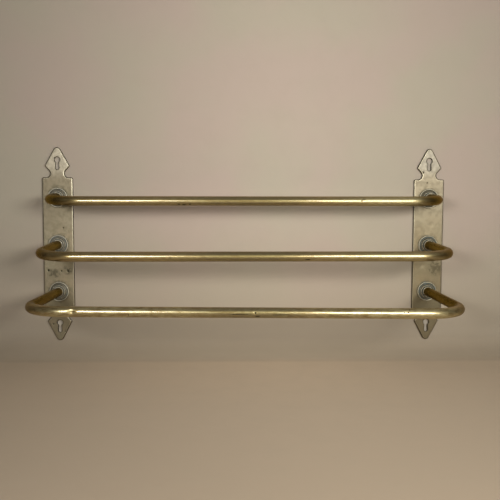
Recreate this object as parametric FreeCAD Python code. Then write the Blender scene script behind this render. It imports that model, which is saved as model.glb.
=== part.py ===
import FreeCAD, Part
import math
import os

# A wall towel rail: three bent tubes, one above the other, between two flat back plates.
# Millimetres. +X is to the right, +Z is up, and the front faces -Y.
# The wall is the plane y = 0, and the origin is the middle of the four wall-screw holes.

# Rails
rail_span = 530.0              # left socket to right socket, centre to centre
tube_diameter = 12.7
tube_wall = 1.0
bend_radius = 50.0             # of the tube's centre line, at the front corners
stub_length = 15.0             # end of each tube, square to its plate
set_radius = 80.0              # of the slight bend where an arm leaves its stub
tier_pitch = 67.0              # from one socket up to the next
top_reach = 91.0               # wall to the centre line of the rail
middle_reach = 141.5
bottom_reach = 192.5
top_rise = -3.5                # of a rail over its own sockets, as years of use have set it
middle_rise = -4.6
bottom_rise = 0.8
top_lean = -0.8                # of a rail's left corner over its right one
middle_lean = -0.8
bottom_lean = 3.8

# Back plates
plate_length = 276.0           # tip to tip
plate_width = 43.3
plate_thickness = 3.5
plate_edge_radius = 1.6        # worn round along the front edge
tip_radius = 5.0
arrow_width = 35.3             # of the spade-shaped end, before its corners are rounded
arrow_depth = 27.9             # tip down to those corners
arrow_corner_radius = 2.4
notch_height = 16.1            # those corners down to the square shoulders
notch_radius = 5.7             # of the round hollow between spade and shoulder
neck_width = 20.4              # between the two hollows
shoulder_radius = 2.2

# Keyholes, with their round part uppermost in all four
keyhole_diameter = 8.0
keyhole_slot_width = 4.8
keyhole_drop = 11.5            # centre of the round part to the slot's round end
keyhole_edge_radius = 0.5
top_keyhole_inset = 17.6       # upper tip down to the centre of the round part
bottom_keyhole_inset = 25.7    # lower tip up to the centre of the round part

# Rosettes, from the tube outwards, with heights measured out from the front of the plate
tube_clearance = 0.05          # round the tube, in rosette and ferrule
ferrule_wall = 0.9
groove_width = 0.6             # the dark gap between ferrule and lip
lip_width = 0.6
dome_width = 2.4               # lip to the dome's foot
hollow_width = 1.1             # the dome's foot to the bead
bead_radius = 1.1              # of the ring round a rosette's foot
bead_height = 0.9              # of that ring's centre
lip_height = 5.6
groove_depth = 2.0             # below the lip
ferrule_seat_depth = 3.6       # below the lip
ferrule_stand = 2.0            # above the lip
ferrule_edge_radius = 0.4
dome_bulge_shares = (0.83, 0.64)   # where the dome swells most, of its width and of its height

# Plugs in the tube ends and the screws that draw them to the plates
plug_length = 12.0
plug_chamfer = 0.5
screw_diameter = 5.0
screw_head_diameter = 9.2
screw_head_recess = 0.2        # behind the plate's back face
screw_grip = 10.0              # thread inside the plug
screw_hole_clearance = 0.2
driver_slot_width = 1.0
driver_slot_depth = 1.2

overrun = 1.0                  # how far each cutting shape runs past what it cuts
tolerance = 0.01               # within which two places count as one

keyhole_spacing = plate_length - top_keyhole_inset - bottom_keyhole_inset
plate_top = keyhole_spacing / 2 + top_keyhole_inset
plate_bottom = plate_top - plate_length
plate_middle = (plate_top + plate_bottom) / 2
socket_bore = tube_diameter + 2 * tube_clearance
ferrule_diameter = socket_bore + 2 * ferrule_wall
groove_diameter = ferrule_diameter + 2 * groove_width
lip_diameter = groove_diameter + 2 * lip_width
dome_diameter = lip_diameter + 2 * dome_width
bead_inside_diameter = dome_diameter + 2 * hollow_width
rosette_diameter = bead_inside_diameter + 4 * bead_radius

sides = {"left": -1, "right": 1}
tiers = {
    "top": {
        "height": plate_middle + tier_pitch,
        "reach": top_reach,
        "rise": top_rise,
        "lean": top_lean,
    },
    "middle": {
        "height": plate_middle,
        "reach": middle_reach,
        "rise": middle_rise,
        "lean": middle_lean,
    },
    "bottom": {
        "height": plate_middle - tier_pitch,
        "reach": bottom_reach,
        "rise": bottom_rise,
        "lean": bottom_lean,
    },
}


def vector(x, y, z):
    return FreeCAD.Vector(x, y, z)


def line(start, end):
    return Part.LineSegment(start, end).toShape()


def arc(start, middle, end):
    return Part.Arc(start, middle, end).toShape()


# Where an arc of one radius leaves the way to a corner, passes it and joins the way on.
def corner_arc(before, corner, after, radius):
    back = (before - corner).normalize()
    onward = (after - corner).normalize()
    half_angle = back.getAngle(onward) / 2
    touch = radius / math.tan(half_angle)
    depth = radius / math.sin(half_angle) - radius
    return corner + back * touch, corner + (back + onward).normalize() * depth, corner + onward * touch


# A closed outline through corners given as (point, rounding radius).
def rounded_outline(corners):
    points = [corner for corner, radius in corners]
    befores = points[-1:] + points[:-1]
    afters = points[1:] + points[:1]
    arcs = [corner_arc(before, corner, after, radius)
            for before, (corner, radius), after in zip(befores, corners, afters)]
    edges = []
    for touching, following in zip(arcs, arcs[1:] + arcs[:1]):
        edges.append(arc(*touching))
        edges.append(line(touching[-1], following[0]))
    return Part.Wire(edges)


# A path from start to end, past corners given as (point, bend radius).
def rounded_path(start, corners, end):
    points = [start] + [corner for corner, radius in corners] + [end]
    edges = []
    reached = start
    for before, (corner, radius), after in zip(points, corners, points[2:]):
        begin, middle, finish = corner_arc(before, corner, after, radius)
        edges.append(line(reached, begin))
        edges.append(arc(begin, middle, finish))
        reached = finish
    edges.append(line(reached, end))
    return Part.Wire(edges)


# Corners of one side of a spade-shaped end, from the tip down, as (out from the middle, down, radius).
# The spade's sides touch the round of the tip, and its undersides the round of the notch.
def spade_corners():
    corner_out = arrow_width / 2
    tip_below = arrow_depth - tip_radius
    flank = math.atan2(corner_out, tip_below) - math.asin(tip_radius / math.hypot(corner_out, tip_below))
    shoulder_depth = arrow_depth + notch_height
    notch_out = neck_width / 2 + notch_radius
    notch_below = notch_height - notch_radius
    towards_corner = math.atan2(notch_below, corner_out - notch_out)
    opening = math.acos(notch_radius / math.hypot(notch_below, corner_out - notch_out))
    slope = towards_corner + opening - math.pi / 2
    return [
        (0, arrow_depth - corner_out / math.tan(flank), tip_radius),
        (corner_out, arrow_depth, arrow_corner_radius),
        (notch_out - notch_radius / math.tan(slope / 2), shoulder_depth, notch_radius),
        (plate_width / 2, shoulder_depth, shoulder_radius),
    ]


def plate_outline():
    half = spade_corners()
    upper_right = [(vector(out, 0, plate_top - down), radius) for out, down, radius in half]
    lower_right = [(vector(out, 0, plate_bottom + down), radius) for out, down, radius in half]
    lower_left = [(vector(-out, 0, plate_bottom + down), radius) for out, down, radius in half]
    upper_left = [(vector(-out, 0, plate_top - down), radius) for out, down, radius in half]
    return rounded_outline(upper_right + lower_right[::-1] + lower_left[1:] + upper_left[:0:-1])


# The edges of a plate that lie flat in its front face.
def front_edges(plate):
    return [edge for edge in plate.Edges
            if edge.BoundBox.YLength < tolerance
            and abs(edge.CenterOfMass.y + plate_thickness) < tolerance]


def keyhole(height):
    depth = plate_thickness + 2 * overrun
    outward = vector(0, -1, 0)
    head_at = vector(0, overrun, height)
    foot_at = head_at - vector(0, 0, keyhole_drop)
    head = Part.makeCylinder(keyhole_diameter / 2, depth, head_at, outward)
    foot = Part.makeCylinder(keyhole_slot_width / 2, depth, foot_at, outward)
    slot_corner = foot_at - vector(keyhole_slot_width / 2, depth, 0)
    slot = Part.makeBox(keyhole_slot_width, depth, keyhole_drop, slot_corner)
    return head.fuse([foot, slot]).removeSplitter()


# The front edges round one keyhole.
def keyhole_rim(plate, height):
    lowest = height - keyhole_drop - keyhole_slot_width
    highest = height + keyhole_diameter
    return [edge for edge in front_edges(plate)
            if abs(edge.CenterOfMass.x) <= keyhole_diameter / 2
            and lowest < edge.CenterOfMass.z < highest]


# The clearance hole for one fixing screw, with the cone that its head sits in.
def screw_hole(height):
    mouth = screw_head_diameter / 2 + screw_head_recess
    throat = screw_diameter / 2 + screw_hole_clearance
    outward = vector(0, -1, 0)
    cone = Part.makeCone(mouth, throat, mouth - throat, vector(0, 0, height), outward)
    depth = plate_thickness + 2 * overrun
    hole = Part.makeCylinder(throat, depth, vector(0, overrun, height), outward)
    return cone.fuse(hole)


def back_plate(side):
    plate = Part.Face(plate_outline()).extrude(vector(0, -plate_thickness, 0))
    plate = plate.makeFillet(plate_edge_radius, front_edges(plate))
    for height in (plate_top - top_keyhole_inset, plate_bottom + bottom_keyhole_inset):
        plate = plate.cut(keyhole(height))
        plate = plate.makeFillet(keyhole_edge_radius, keyhole_rim(plate, height))
    plate = plate.cut([screw_hole(tier["height"]) for tier in tiers.values()])
    return placed(plate, side, 0)


def placed(shape, side, height):
    shape.translate(vector(side * rail_span / 2, 0, height))
    return shape


# A solid of revolution about the axis of a socket, from a closed outline of edges in the plane z = 0.
def turned(edges):
    face = Part.Face(Part.Wire(edges))
    return face.revolve(vector(0, 0, 0), vector(0, 1, 0), 360)


# A point of a turned piece, by its diameter and its height out from the front of the plate.
def turned_point(diameter, height):
    return vector(diameter / 2, -plate_thickness - height, 0)


def chain(points):
    return [line(start, end) for start, end in zip(points, points[1:])]


# The stepped round collar that each tube end enters: a bead, a hollow, a dome, a lip and a dark groove.
def rosette(side, tier):
    bead_outside = turned_point(rosette_diameter, bead_height)
    bead_top = turned_point(rosette_diameter - 2 * bead_radius, bead_height + bead_radius)
    bead_inside = turned_point(bead_inside_diameter, bead_height)
    dome_foot = turned_point(dome_diameter, bead_height)
    bulge_out, bulge_up = dome_bulge_shares
    bulge_height = bead_height + bulge_up * (lip_height - bead_height)
    dome_bulge = turned_point(lip_diameter + 2 * bulge_out * dome_width, bulge_height)
    lip = turned_point(lip_diameter, lip_height)
    edges = chain([turned_point(socket_bore, 0), turned_point(rosette_diameter, 0), bead_outside])
    edges.append(arc(bead_outside, bead_top, bead_inside))
    edges.append(line(bead_inside, dome_foot))
    edges.append(arc(dome_foot, dome_bulge, lip))
    edges += chain([
        lip,
        turned_point(groove_diameter, lip_height),
        turned_point(groove_diameter, lip_height - groove_depth),
        turned_point(ferrule_diameter, lip_height - groove_depth),
        turned_point(ferrule_diameter, lip_height - ferrule_seat_depth),
        turned_point(socket_bore, lip_height - ferrule_seat_depth),
        turned_point(socket_bore, 0),
    ])
    return placed(turned(edges), side, tier["height"])


# The thin bright ring that stands out of a rosette and closes round the tube.
def ferrule(side, tier):
    seat = lip_height - ferrule_seat_depth
    top = lip_height + ferrule_stand
    rounding = ferrule_edge_radius
    round_start = turned_point(ferrule_diameter, top - rounding)
    bevel = rounding / math.sqrt(2)
    round_middle = turned_point(ferrule_diameter - 2 * (rounding - bevel), top - rounding + bevel)
    round_end = turned_point(ferrule_diameter - 2 * rounding, top)
    edges = chain([
        round_end,
        turned_point(socket_bore, top),
        turned_point(socket_bore, seat),
        turned_point(ferrule_diameter, seat),
        round_start,
    ])
    edges.append(arc(round_start, round_middle, round_end))
    return placed(turned(edges), side, tier["height"])


# The brass plug brazed into a tube end, bored for its fixing screw.
def end_plug(side, tier):
    outside = tube_diameter - 2 * tube_wall
    edges = chain([
        turned_point(screw_diameter, 0),
        turned_point(outside, 0),
        turned_point(outside, plug_length - plug_chamfer),
        turned_point(outside - 2 * plug_chamfer, plug_length),
        turned_point(screw_diameter, plug_length),
        turned_point(screw_diameter, 0),
    ])
    return placed(turned(edges), side, tier["height"])


# A countersunk screw, put in from behind the plate, that holds one tube end.
def fixing_screw(side, tier):
    back = screw_head_recess - plate_thickness
    neck = back + (screw_head_diameter - screw_diameter) / 2
    edges = chain([
        turned_point(0, back),
        turned_point(screw_head_diameter, back),
        turned_point(screw_diameter, neck),
        turned_point(screw_diameter, screw_grip),
        turned_point(0, screw_grip),
        turned_point(0, back),
    ])
    corner = vector(-screw_head_diameter, -screw_head_recess - driver_slot_depth, -driver_slot_width / 2)
    slot = Part.makeBox(2 * screw_head_diameter, driver_slot_depth + overrun, driver_slot_width, corner)
    return placed(turned(edges).cut(slot), side, tier["height"])


# One bent tube: out from its left socket, across the front, and back to its right socket.
def rail(tier):
    left, right = [vector(side * rail_span / 2, -plate_thickness, tier["height"]) for side in sides.values()]
    stub = vector(0, -stub_length, 0)
    outward = vector(0, plate_thickness - tier["reach"], 0)
    left_corner = left + outward + vector(0, 0, tier["rise"] + tier["lean"] / 2)
    right_corner = right + outward + vector(0, 0, tier["rise"] - tier["lean"] / 2)
    corners = [
        (left + stub, set_radius),
        (left_corner, bend_radius),
        (right_corner, bend_radius),
        (right + stub, set_radius),
    ]
    path = rounded_path(left, corners, right)
    rings = [Part.Wire(Part.makeCircle(radius, left, stub))
             for radius in (tube_diameter / 2, tube_diameter / 2 - tube_wall)]
    outside, inside = [path.makePipeShell([ring], True, False) for ring in rings]
    tube = outside.cut(inside)
    section = math.pi * (tube_diameter - tube_wall) * tube_wall
    by_section = section * path.Length
    print(f"tube {path.Length:.1f} long: volume {tube.Volume:.0f} mm3, by its section {by_section:.0f} mm3")
    return tube


nodes = {f"rail_{level}": rail(tier) for level, tier in tiers.items()}
for hand, side in sides.items():
    nodes[f"back_plate_{hand}"] = back_plate(side)
    for level, tier in tiers.items():
        nodes[f"rosette_{hand}_{level}"] = rosette(side, tier)
        nodes[f"ferrule_{hand}_{level}"] = ferrule(side, tier)
        nodes[f"end_plug_{hand}_{level}"] = end_plug(side, tier)
        nodes[f"fixing_screw_{hand}_{level}"] = fixing_screw(side, tier)

os.makedirs("parts", exist_ok=True)
for name, shape in nodes.items():
    print(f"{name}: solids {len(shape.Solids)}, valid {shape.isValid()}, {shape.Volume:.1f} mm3")
    shape.exportStep(f"parts/{name}.step")
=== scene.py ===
import math
from functools import reduce
import bmesh
import bpy
import numpy as np
from mathutils import Matrix, Vector, noise
from mathutils.geometry import delaunay_2d_cdt


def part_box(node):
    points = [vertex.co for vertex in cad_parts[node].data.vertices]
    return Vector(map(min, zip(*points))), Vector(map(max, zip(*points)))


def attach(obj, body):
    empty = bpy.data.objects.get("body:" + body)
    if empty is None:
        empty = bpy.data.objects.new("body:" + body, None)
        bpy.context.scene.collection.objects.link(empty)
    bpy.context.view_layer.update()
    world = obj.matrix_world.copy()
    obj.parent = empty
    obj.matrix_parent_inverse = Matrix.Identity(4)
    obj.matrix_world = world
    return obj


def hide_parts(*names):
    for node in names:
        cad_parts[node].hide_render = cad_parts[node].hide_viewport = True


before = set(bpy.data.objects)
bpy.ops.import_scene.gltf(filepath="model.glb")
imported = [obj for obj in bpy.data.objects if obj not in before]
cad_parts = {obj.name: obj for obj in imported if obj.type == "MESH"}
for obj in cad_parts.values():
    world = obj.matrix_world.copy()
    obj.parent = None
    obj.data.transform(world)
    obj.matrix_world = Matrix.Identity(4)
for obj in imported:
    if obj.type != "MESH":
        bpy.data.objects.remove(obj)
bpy.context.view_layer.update()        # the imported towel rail, in metres: +X right, +Z up, the front faces -Y
print("frame loaded:", len(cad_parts), "nodes")

hands = {"left": -1, "right": 1}
levels = ("top", "middle", "bottom")


def pointsOnWay(corners, radii, step):
    # A way past corners, each rounded by its own radius, with a point every step or so.
    way = [corners[0]]

    def runTo(end):
        start = way[-1]
        count = max(1, math.ceil((end - start).length / step))
        way.extend(start.lerp(end, k / count) for k in range(1, count + 1))

    for before, corner, after, radius in zip(corners, corners[1:], corners[2:], radii):
        back, onward = (before - corner).normalized(), (after - corner).normalized()
        half = back.angle(onward) / 2
        centre = corner + (back + onward).normalized() * radius / math.sin(half)
        begin, finish = (corner + arm * radius / math.tan(half) for arm in (back, onward))
        if (begin - way[-1]).length > step / 50:
            runTo(begin)
        spoke = begin - centre
        axis = spoke.cross(finish - centre).normalized()
        sweep = math.pi - 2 * half
        count = max(4, math.ceil(radius * sweep / step))
        way.extend(centre + Matrix.Rotation(sweep * k / count, 3, axis) @ spoke for k in range(1, count + 1))
    if (corners[-1] - way[-1]).length > step / 50:
        runTo(corners[-1])
    return way


def arcPoints(across, up, radius, start, sweep, count):
    # Points round a flat arc, from the angle start on.
    turns = [start + sweep * k / count for k in range(count + 1)]
    return [(across + radius * math.cos(t), up + radius * math.sin(t)) for t in turns]


def joinRings(faces, first, second, count, flip=False):
    # Quads between two closed rings of count points each, which start at first and second.
    for k in range(count):
        k2 = (k + 1) % count
        quad = (first + k, first + k2, second + k2, second + k)
        faces.append(quad[::-1] if flip else quad)


def makeObject(name, points, faces, layers=None, sharpAngle=40):
    mesh = bpy.data.meshes.new(name)
    mesh.from_pydata([tuple(p) for p in points], [], faces)
    mesh.validate()
    mesh.update()
    mesh.shade_smooth()
    if sharpAngle:
        mesh.set_sharp_from_angle(angle=math.radians(sharpAngle))
    for label, values in (layers or {}).items():
        values = np.asarray(values, np.float32)
        kind, key = ("FLOAT_VECTOR", "vector") if values.ndim == 2 else ("FLOAT", "value")
        mesh.attributes.new(label, kind, "POINT").data.foreach_set(key, values.ravel())
    piece = bpy.data.objects.new(name, mesh)
    bpy.context.scene.collection.objects.link(piece)
    return piece


def finishPiece(piece, material, slot, *nodes):
    piece.data.materials.append(material)
    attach(piece, "root")
    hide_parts(*nodes)


def softStep(value, low, high):
    share = min(1.0, max(0.0, (value - low) / (high - low)))
    return share * share * (3 - 2 * share)


def hump(gap, width):
    # 1 where the gap is nothing, and fading over the width.
    return math.exp(-(gap / width) ** 2)


def socketOf(hand, level):
    low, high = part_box(f"rosette_{hand}_{level}")
    return Vector(((low.x + high.x) / 2, high.y, (low.z + high.z) / 2))


# Three bent tubes. The path follows the CAD rails; heights come from the rosettes' own boxes.
rails = {
    "span": 0.530,
    "radius": 0.00635,
    "bore": 0.00535,
    "stub": 0.015,            # square to the plate before the arm turns
    "setRadius": 0.080,
    "bendRadius": 0.050,
    "reach": {"top": 0.0910, "middle": 0.1415, "bottom": 0.1925},
    "rise": {"top": -0.0035, "middle": -0.0046, "bottom": 0.0008},
    "lean": {"top": -0.0008, "middle": -0.0008, "bottom": 0.0038},
    "sides": 72,
    "step": 0.0016,
    "endDepth": 0.002,        # of the short bore shown at either end
    "bendFlat": 0.025,        # share by which the outside of a bend is flattened
    "wander": 0.00004,        # unevenness of the drawn tube
    "wanderScale": (14, 0.6),     # how quickly it changes along and round
    "armFrom": 0.02,          # from an end, where "armShare" starts to fall
    "firmEnd": (0.015, 0.05),     # over this way from an end the unevenness sets in
    "knockFront": 0.004,      # knocks lie this near the front run's own depth
}

# Knocks in the tubes: x along the rail, angle up from straight ahead, half width, half spread, depth.
knocks = {
    "top": [(0.1528, 18, 0.0022, 20, 0.0002), (-0.084, -42, 0.006, 18, 0.00012)],
    "middle": [(0.0755, -30, 0.003, 16, 0.00015), (-0.094, -10, 0.004, 14, 0.0001)],
    "bottom": [(-0.2043, 5, 0.0036, 30, 0.0014), (-0.2022, -4, 0.0006, 18, -0.00010),
               (0.0090, 7, 0.0016, 13, 0.00045), (0.0116, -34, 0.0022, 12, 0.00030),
               (0.0300, 4, 0.0040, 16, 0.00018), (0.1862, 20, 0.0022, 16, 0.00025)],
}


def railWay(level):
    left, right = socketOf("left", level), socketOf("right", level)
    out = Vector((0, -rails["reach"][level] - left.y, 0))
    lean = Vector((0, 0, rails["lean"][level] / 2))
    rise = Vector((0, 0, rails["rise"][level]))
    stub = Vector((0, -rails["stub"], 0))
    corners = [left, left + stub, left + out + rise + lean, right + out + rise - lean, right + stub, right]
    radii = [rails["setRadius"], rails["bendRadius"], rails["bendRadius"], rails["setRadius"]]
    return pointsOnWay(corners, radii, rails["step"])


def knockedIn(level, across, rising):
    # How deep the knocks go at this x and at this angle up from straight ahead.
    pressed = 0
    for x, knockAngle, length, spread, depth in knocks[level]:
        if abs(across - x) < 3 * length:
            turn = (rising - knockAngle + 180) % 360 - 180
            pressed += depth * hump(across - x, length) * hump(turn, spread)
    return pressed


# One tube, swept ring by ring. "tubeFlow" holds the distance along it and the place round it,
# "armShare" is 0 on the straight front run and 1 where the tube enters its rosettes.
def makeRail(level, material):
    way = railWay(level)
    sides, radius = rails["sides"], rails["radius"]
    seed = levels.index(level) * 7.3
    alongScale, roundScale = rails["wanderScale"]
    points, flow, armShare, faces = [], [], [], []
    travelled = [0.0]
    for before, after in zip(way, way[1:]):
        travelled.append(travelled[-1] + (after - before).length)
    total = travelled[-1]
    half = rails["span"] / 2 - rails["bendRadius"]
    frontRun = way[len(way) // 2].y + rails["knockFront"]
    for number, (centre, gone) in enumerate(zip(way, travelled)):
        along = (way[min(number + 1, len(way) - 1)] - way[max(number - 1, 0)]).normalized()
        up = (Vector((0, 0, 1)) - along * along.z).normalized()
        outer = along.cross(up)
        fromEnd = min(gone, total - gone)
        bending = 1 - abs(2 * softStep(abs(centre.x), half, half + rails["bendRadius"]) - 1)
        loose = softStep(fromEnd, *rails["firmEnd"])
        share = 1 - softStep(fromEnd, rails["armFrom"], total / 2 - half + 0.01)
        for k in range(sides):
            angle = 2 * math.pi * k / sides
            high, wide = math.cos(angle), math.sin(angle)
            width = radius * (1 - rails["bendFlat"] * bending * max(0, wide) ** 2)
            uneven = noise.noise(Vector((gone * alongScale + seed, high * roundScale, wide * roundScale)))
            width -= rails["wander"] * loose * (0.5 + 0.5 * uneven)
            if centre.y < frontRun:
                width -= knockedIn(level, centre.x, 90 - math.degrees(angle))
            points.append(centre + (up * high + outer * wide) * width)
            flow.append((gone, high * radius, wide * radius))
            armShare.append(share)
    for ring in range(0, (len(way) - 1) * sides, sides):
        for k in range(sides):
            a, b = ring + k, ring + (k + 1) % sides
            faces.append((a, a + sides, b + sides, b))
    # The two ends: the wall's cut edge, a short bore and its floor.
    for end, flip in ((0, False), (len(way) - 1, True)):
        rim, bore = end * sides, len(points)
        floor = bore + sides
        spokes = [(p - way[end]).normalized() for p in points[rim:rim + sides]]
        for depth in (0, rails["endDepth"]):
            points += [way[end] + spoke * rails["bore"] + Vector((0, -depth, 0)) for spoke in spokes]
            flow += flow[rim:rim + sides]
            armShare += [1.0] * sides
        joinRings(faces, rim, bore, sides, flip)
        joinRings(faces, bore, floor, sides, flip)
        cap = tuple(range(floor, floor + sides))
        faces.append(cap[::-1] if flip else cap)
    piece = makeObject(f"towel_rail_tube_{level}", points, faces, {"tubeFlow": flow, "armShare": armShare})
    finishPiece(piece, material, "tube_brass", f"rail_{level}")


# The two back plates, with a spade-shaped end above and below.
plates = {
    "width": 0.0433,
    "thickness": 0.0035,
    "edgeRadius": 0.0016,
    "tipRadius": 0.005,
    "arrowWidth": 0.0353,
    # The ends were sawn by hand, so the corners of each lie a little differently.
    "arrowDepth": {"left": {"upper": 0.0264, "lower": 0.0279}, "right": {"upper": 0.0276, "lower": 0.0279}},
    "arrowCornerRadius": 0.0024,
    "notchHeight": 0.0161,
    "notchRadius": 0.0057,
    "neckWidth": 0.0204,
    "shoulderRadius": 0.0022,
    "keyholeRadius": 0.004,
    "slotHalf": 0.0024,
    "slotWaist": 0.0004,      # how far the slot is pinched under its round part
    "keyholeDrop": 0.0115,
    "keyholeRim": 0.0008,
    "keyholeInsets": (0.0176, 0.0257),
    "screwMouth": 0.0048,
    "screwThroat": 0.0027,
    "outlineStep": 0.0010,
    "spacing": 0.00125,       # of the points over the front face
    "unevenness": 0.00003,
    "calm": (0.0145, 0.022),      # round a socket the face stays flat this far
    "edgeWobble": 0.00016,
    "filed": 0.003,           # how far in from its edge a plate was filed
    "worn": (0.0012, 0.0007),     # how far in the rubbed rim lies, and how wide it is
    "grimy": 0.0007,          # how wide the painted shade round a keyhole is
}

# Shallow dents in the front of the plates: (x, z), depth, radius.
plateDents = {
    "left": [((-0.2577, 0.0202), 0.0004, 0.0009), ((-0.2799, -0.0407), 0.0005, 0.0014),
             ((-0.2614, -0.0417), 0.0003, 0.0012), ((-0.2522, -0.0417), 0.0004, 0.0013),
             ((-0.2742, -0.1183), 0.0003, 0.0010), ((-0.2573, -0.1292), 0.0004, 0.0010),
             ((-0.2760, 0.0950), 0.0002, 0.0030)],
    "right": [((0.2626, 0.0853), 0.0004, 0.0008), ((0.2565, 0.1003), 0.0003, 0.0012),
              ((0.2690, 0.0250), 0.0002, 0.0040), ((0.2580, -0.0330), 0.0002, 0.0030)],
}


def spadeCorners(depth):
    # One side of a spade-shaped end, from its tip: out from the middle, down from the tip, radius.
    p = plates
    cornerOut = p["arrowWidth"] / 2
    tipBelow = depth - p["tipRadius"]
    flank = math.atan2(cornerOut, tipBelow) - math.asin(p["tipRadius"] / math.hypot(cornerOut, tipBelow))
    shoulderDepth = depth + p["notchHeight"]
    notchOut = p["neckWidth"] / 2 + p["notchRadius"]
    notchBelow = p["notchHeight"] - p["notchRadius"]
    reachOut = cornerOut - notchOut
    opening = math.acos(p["notchRadius"] / math.hypot(notchBelow, reachOut))
    slope = math.atan2(notchBelow, reachOut) + opening - math.pi / 2
    return [
        (0, depth - cornerOut / math.tan(flank), p["tipRadius"]),
        (cornerOut, depth, p["arrowCornerRadius"]),
        (notchOut - p["notchRadius"] / math.tan(slope / 2), shoulderDepth, p["notchRadius"]),
        (p["width"] / 2, shoulderDepth, p["shoulderRadius"]),
    ]


def plateOutline(low, high, hand):
    # Points round the outline, anticlockwise as seen from the front.
    def quarter(side, end):
        tip, inward = (high, -1) if end == "upper" else (low, 1)
        return [(Vector((side * out, tip + inward * depth, 0)), radius)
                for out, depth, radius in spadeCorners(plates["arrowDepth"][hand][end])]

    corners = quarter(1, "upper") + quarter(1, "lower")[::-1] + quarter(-1, "lower")[1:] + quarter(-1, "upper")[:0:-1]
    places, radii = zip(*corners[::-1])
    start = (places[0] + places[-1]) / 2
    way = pointsOnWay([start, *places, start], radii, plates["outlineStep"])
    return np.array([(v.x, v.y) for v in way[:-1]])


def keyholeLoop(height):
    # A round hole with a slot under it, pinched a little where they meet.
    radius, half, drop, waist = (plates[k] for k in ("keyholeRadius", "slotHalf", "keyholeDrop", "slotWaist"))
    meeting = math.asin((half - waist) / radius)
    start = radius * math.cos(meeting)
    side = [(half - waist * (1 - softStep(k / 9, 0, 1)), height - (start + (drop - start) * k / 9))
            for k in range(1, 9)]
    loop = arcPoints(0, height, radius, -math.pi / 2 + meeting, 2 * math.pi - 2 * meeting, 28)
    loop += [(-x, z) for x, z in side] + arcPoints(0, height - drop, half, math.pi, math.pi, 12)
    return np.array(loop + side[::-1])


def roundLoop(height, radius, count=48):
    return np.array(arcPoints(0, height, radius, 0, 2 * math.pi, count)[:-1])


def loopNormals(loop):
    # Unit normals to the left of the way round: into the metal on an anticlockwise outline.
    edge = np.roll(loop, -1, 0) - loop
    edge /= np.linalg.norm(edge, axis=1)[:, None]
    both = edge + np.roll(edge, 1, 0)
    both /= np.linalg.norm(both, axis=1)[:, None]
    return np.stack([-both[:, 1], both[:, 0]], 1)


def insideLoop(spots, loop):
    inside = np.zeros(len(spots), bool)
    for (x1, y1), (x2, y2) in zip(loop, np.roll(loop, -1, 0)):
        crosses = (y1 > spots[:, 1]) != (y2 > spots[:, 1])
        if crosses.any():
            at = x1 + (spots[:, 1] - y1) * (x2 - x1) / (y2 - y1 if y2 != y1 else 1e-12)
            inside ^= crosses & (spots[:, 0] < at)
    return inside


def betweenLoops(spots, outer, holes):
    inside = insideLoop(spots, outer)
    for hole in holes:
        inside &= ~insideLoop(spots, hole)
    return inside


def distanceToLoop(spots, loop):
    best = np.full(len(spots), 1e9)
    for first, second in zip(loop, np.roll(loop, -1, 0)):
        edge = second - first
        share = np.clip(((spots - first) @ edge) / max(edge @ edge, 1e-18), 0, 1)
        best = np.minimum(best, np.linalg.norm(spots - first - share[:, None] * edge, axis=1))
    return best


def fillBetween(outer, holes, inner, spacing):
    # Triangles between an outline and its holes, with evenly spread points inside.
    spots, edges = [], []
    for loop in [outer] + holes:
        start = len(spots)
        spots += [Vector(p) for p in loop]
        edges += [(start + k, start + (k + 1) % len(loop)) for k in range(len(loop))]
    if inner:
        low, high = outer.min(0), outer.max(0)
        rows = np.arange(low[1], high[1], spacing * 0.866)
        columns = np.arange(low[0], high[0], spacing)
        grid = np.array([(x + (row % 2) * spacing / 2, z) for row, z in enumerate(rows) for x in columns])
        keep = betweenLoops(grid, outer, holes) & (distanceToLoop(grid, outer) > spacing * 0.6)
        for hole in holes:
            keep &= distanceToLoop(grid, hole) > spacing * 0.5
        spots += [Vector(p) for p in grid[keep]]
    found, _, triangles, *_ = delaunay_2d_cdt(spots, edges, [], 0, 1e-7)
    found = np.array([(v.x, v.y) for v in found])
    triangles = np.array([t for t in triangles if len(t) == 3])
    return found, triangles[betweenLoops(found[triangles].mean(1), outer, holes)]


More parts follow.
